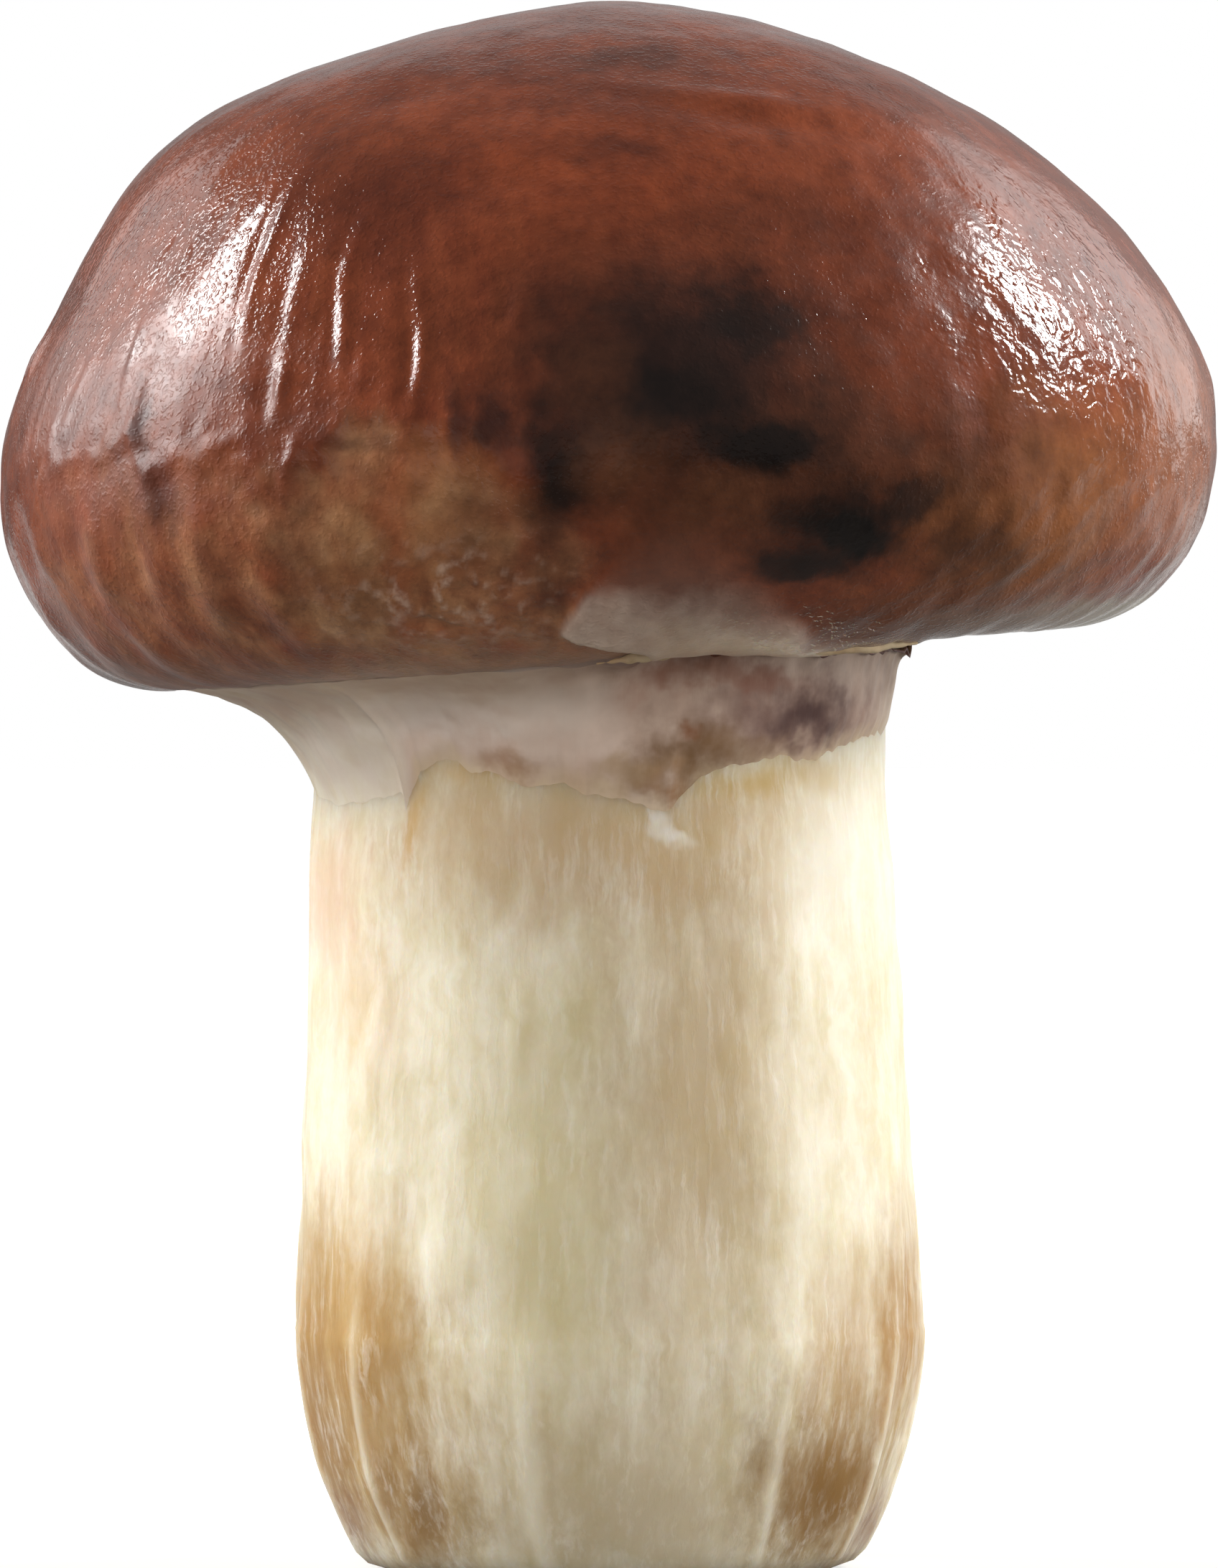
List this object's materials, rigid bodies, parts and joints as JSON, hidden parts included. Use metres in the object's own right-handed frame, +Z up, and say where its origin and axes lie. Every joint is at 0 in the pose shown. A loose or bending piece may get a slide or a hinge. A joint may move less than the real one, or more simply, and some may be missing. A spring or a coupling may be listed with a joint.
{
  "type": "bolete mushroom",
  "caption": "Young bolete mushroom with a glossy brown domed cap, a torn pale veil, a pored underside and a thick cream stem peeled and cut flat to stand on.",
  "frame": {"origin": "middle of the object's footprint, on the surface that the cut foot stands on", "axes": "+Z up the stem, +X to the right and -Y towards the viewer, as in the reference view"},
  "size_m": [0.0502, 0.0504, 0.0644],
  "materials": {
    "cap_skin": "wet gloss",
    "tubes": "matt",
    "veil": "satin",
    "stem_flesh": "satin"
  },
  "bodies": {
    "root": {"cap": "cap_skin", "tube_layer": "tubes", "veil": "veil", "stem": "stem_flesh"}
  },
  "joints": []
}
